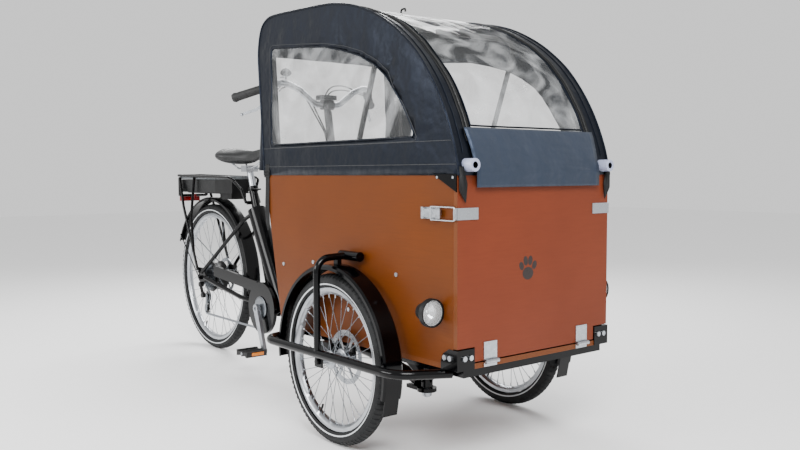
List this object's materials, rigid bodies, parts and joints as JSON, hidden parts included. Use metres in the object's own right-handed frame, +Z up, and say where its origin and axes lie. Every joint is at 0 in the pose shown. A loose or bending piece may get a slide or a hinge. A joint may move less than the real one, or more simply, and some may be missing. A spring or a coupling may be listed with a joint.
{
  "type": "cargo tricycle",
  "caption": "Front-loading cargo tricycle with a plywood box, windowed fabric canopy, steering front frame, chain drive, electric rear wheel and rear carrier.",
  "frame": {"origin": "centre of the bounding box at ground level", "axes": "+X forward, +Y to the rider's left, +Z up"},
  "size_m": [2.3006, 0.865, 1.317],
  "materials": {
    "tyre_rubber": "matt black rubber with a pale reflective ring",
    "wheel_alloy": "machined alloy rims and steel spokes",
    "frame_black": "gloss black powder coat",
    "zinc_steel": "bright zinc plate",
    "plain_steel": "plain steel",
    "silver_alloy": "satin silver alloy",
    "black_resin": "black moulded resin",
    "battery_black": "satin black case",
    "deck_grey": "grey resin",
    "red_lens": "clear red",
    "grip_rubber": "black rubber",
    "saddle_skin": "black stitched skin",
    "birch_ply": "varnished orange-brown plywood",
    "lamp_chrome": "black lamp body",
    "lamp_glass": "clear lens",
    "canopy_grey": "coated dark grey cloth",
    "clear_sheet": "clear soft sheet",
    "canopy_tube": "grey tube"
  },
  "bodies": {
    "rear_frame": {"rear_frame": "frame_black", "king_pin": "plain_steel", "rear_hardware": "plain_steel", "chain_case": "black_resin", "chain": "plain_steel", "derailleur_body": "black_resin", "rear_fender": "frame_black", "carrier_frame": "frame_black", "carrier_deck": "deck_grey", "battery_dock": "black_resin", "tail_light": "red_lens"},
    "front_frame": {"front_frame": "frame_black", "front_hardware": "plain_steel", "handlebar_post": "frame_black", "handlebar": "silver_alloy", "grips": "grip_rubber", "bar_controls": "black_resin", "wheel_guards": "frame_black", "front_fenders": "frame_black", "floor_panel": "birch_ply", "side_panels": "birch_ply", "rear_panel": "birch_ply", "corner_protectors": "black_resin", "box_fasteners": "zinc_steel", "lamp_housings": "lamp_chrome", "lamp_lenses": "lamp_glass", "box_hardware": "zinc_steel", "canopy_frame": "canopy_tube", "canopy_fabric": "canopy_grey", "canopy_windows": "clear_sheet", "canopy_front_flap": "canopy_grey", "canopy_straps": "canopy_grey", "control_cables": "grip_rubber"},
    "door": {"door_panel": "birch_ply", "door_fittings": "zinc_steel"},
    "latch_lever_right": {"latch_lever_right": "zinc_steel"},
    "latch_lever_left": {"latch_lever_left": "zinc_steel"},
    "latch_loop_right": {"latch_loop_right": "zinc_steel"},
    "latch_loop_left": {"latch_loop_left": "zinc_steel"},
    "front_wheel_right": {"front_right_tyre": "tyre_rubber", "front_right_wheel": "wheel_alloy"},
    "front_wheel_left": {"front_left_tyre": "tyre_rubber", "front_left_wheel": "wheel_alloy"},
    "rear_wheel": {"rear_tyre": "tyre_rubber", "rear_wheel": "wheel_alloy"},
    "cassette": {"cassette": "plain_steel"},
    "crank": {"crank_arms": "silver_alloy", "chainring": "silver_alloy"},
    "pedal_right": {"right_pedal": "black_resin"},
    "pedal_left": {"left_pedal": "black_resin"},
    "derailleur_cage": {"derailleur_cage": "black_resin"},
    "jockey_upper": {"upper_jockey_wheel": "black_resin"},
    "jockey_lower": {"lower_jockey_wheel": "black_resin"},
    "saddle": {"seat_post": "silver_alloy", "saddle": "saddle_skin"},
    "battery": {"battery": "battery_black"},
    "brake_lever_right": {"brake_lever_right": "black_resin"},
    "brake_lever_left": {"brake_lever_left": "black_resin"},
    "bell_lever": {"bell_lever": "black_resin"},
    "shift_collar": {"shift_collar": "black_resin"}
  },
  "joints": [
    {"name": "steering", "type": "hinge", "parent": "rear_frame", "child": "front_frame", "pos_m": [0.6503, 0, 0.18], "axis": [0, 0, 1], "range_deg": [-35, 35]},
    {"name": "door_hinge", "type": "hinge", "parent": "front_frame", "child": "door", "pos_m": [1.1263, 0, 0.303], "axis": [0, 1, 0], "range_deg": [0, 125], "deforming": ["canopy_front_flap"]},
    {"name": "latch_lever_right_hinge", "type": "hinge", "parent": "front_frame", "child": "latch_lever_right", "pos_m": [0.9953, -0.304, 0.687], "axis": [0, 0, 1], "range_deg": [-110, 0]},
    {"name": "latch_lever_left_hinge", "type": "hinge", "parent": "front_frame", "child": "latch_lever_left", "pos_m": [0.9953, 0.304, 0.687], "axis": [0, 0, 1], "range_deg": [0, 110]},
    {"name": "latch_loop_right_hinge", "type": "hinge", "parent": "latch_lever_right", "child": "latch_loop_right", "pos_m": [1.0253, -0.304, 0.687], "axis": [0, 0, 1], "range_deg": [-30, 0]},
    {"name": "latch_loop_left_hinge", "type": "hinge", "parent": "latch_lever_left", "child": "latch_loop_left", "pos_m": [1.0253, 0.304, 0.687], "axis": [0, 0, 1], "range_deg": [0, 30]},
    {"name": "front_wheel_right_spin", "type": "hinge", "parent": "front_frame", "child": "front_wheel_right", "pos_m": [0.6503, -0.348, 0.25], "axis": [0, 1, 0], "continuous": true},
    {"name": "front_wheel_left_spin", "type": "hinge", "parent": "front_frame", "child": "front_wheel_left", "pos_m": [0.6503, 0.348, 0.25], "axis": [0, 1, 0], "continuous": true},
    {"name": "rear_wheel_spin", "type": "hinge", "parent": "rear_frame", "child": "rear_wheel", "pos_m": [-0.8237, 0, 0.3265], "axis": [0, 1, 0], "continuous": true},
    {"name": "cassette_spin", "type": "hinge", "parent": "rear_frame", "child": "cassette", "pos_m": [-0.8237, 0, 0.3265], "axis": [0, 1, 0], "continuous": true},
    {"name": "crank_spin", "type": "hinge", "parent": "rear_frame", "child": "crank", "pos_m": [-0.3117, 0, 0.25], "axis": [0, 1, 0], "continuous": true},
    {"name": "pedal_right_spin", "type": "hinge", "parent": "crank", "child": "pedal_right", "pos_m": [-0.25356, -0.09, 0.09025], "axis": [0, 1, 0], "continuous": true},
    {"name": "pedal_left_spin", "type": "hinge", "parent": "crank", "child": "pedal_left", "pos_m": [-0.36984, 0.09, 0.40975], "axis": [0, 1, 0], "continuous": true},
    {"name": "derailleur_cage_swing", "type": "hinge", "parent": "rear_frame", "child": "derailleur_cage", "pos_m": [-0.8117, 0, 0.2425], "axis": [0, 1, 0], "range_deg": [-6, 0], "stiffness_Nm_per_rad": 2},
    {"name": "jockey_upper_spin", "type": "hinge", "parent": "derailleur_cage", "child": "jockey_upper", "pos_m": [-0.8117, 0, 0.2425], "axis": [0, 1, 0], "continuous": true},
    {"name": "jockey_lower_spin", "type": "hinge", "parent": "derailleur_cage", "child": "jockey_lower", "pos_m": [-0.8187, 0, 0.184], "axis": [0, 1, 0], "continuous": true},
    {"name": "saddle_height", "type": "slide", "parent": "rear_frame", "child": "saddle", "axis": [-0.3156, 0, 0.9489], "range_m": [-0.03, 0.12]},
    {"name": "battery_slide", "type": "slide", "parent": "rear_frame", "child": "battery", "axis": [-1, 0, 0], "range_m": [0, 0.38]},
    {"name": "brake_lever_right_pull", "type": "hinge", "parent": "front_frame", "child": "brake_lever_right", "pos_m": [0.06362, -0.1969, 1.0746], "axis": [0.673, -0.7397, 0], "range_deg": [-12, 0], "stiffness_Nm_per_rad": 1.2, "springref_deg": 11.46},
    {"name": "brake_lever_left_pull", "type": "hinge", "parent": "front_frame", "child": "brake_lever_left", "pos_m": [0.06362, 0.1969, 1.0746], "axis": [0.673, 0.7397, 0], "range_deg": [0, 12], "stiffness_Nm_per_rad": 1.2, "springref_deg": -11.46},
    {"name": "bell_lever_swing", "type": "hinge", "parent": "front_frame", "child": "bell_lever", "pos_m": [0.0863, -0.168, 1.118], "axis": [0, 0, 1], "range_deg": [-25, 25], "stiffness_Nm_per_rad": 0.05},
    {"name": "shift_collar_turn", "type": "hinge", "parent": "front_frame", "child": "shift_collar", "pos_m": [0.08521, -0.17725, 1.11021], "axis": [-0.7101, -0.6461, -0.28], "range_deg": [-70, 70]}
  ],
  "couplings": [
    {"joint": "cassette_spin", "follows": "crank_spin", "ratio": 2.4444},
    {"joint": "jockey_upper_spin", "follows": "crank_spin", "ratio": -4},
    {"joint": "jockey_lower_spin", "follows": "crank_spin", "ratio": 4}
  ]
}
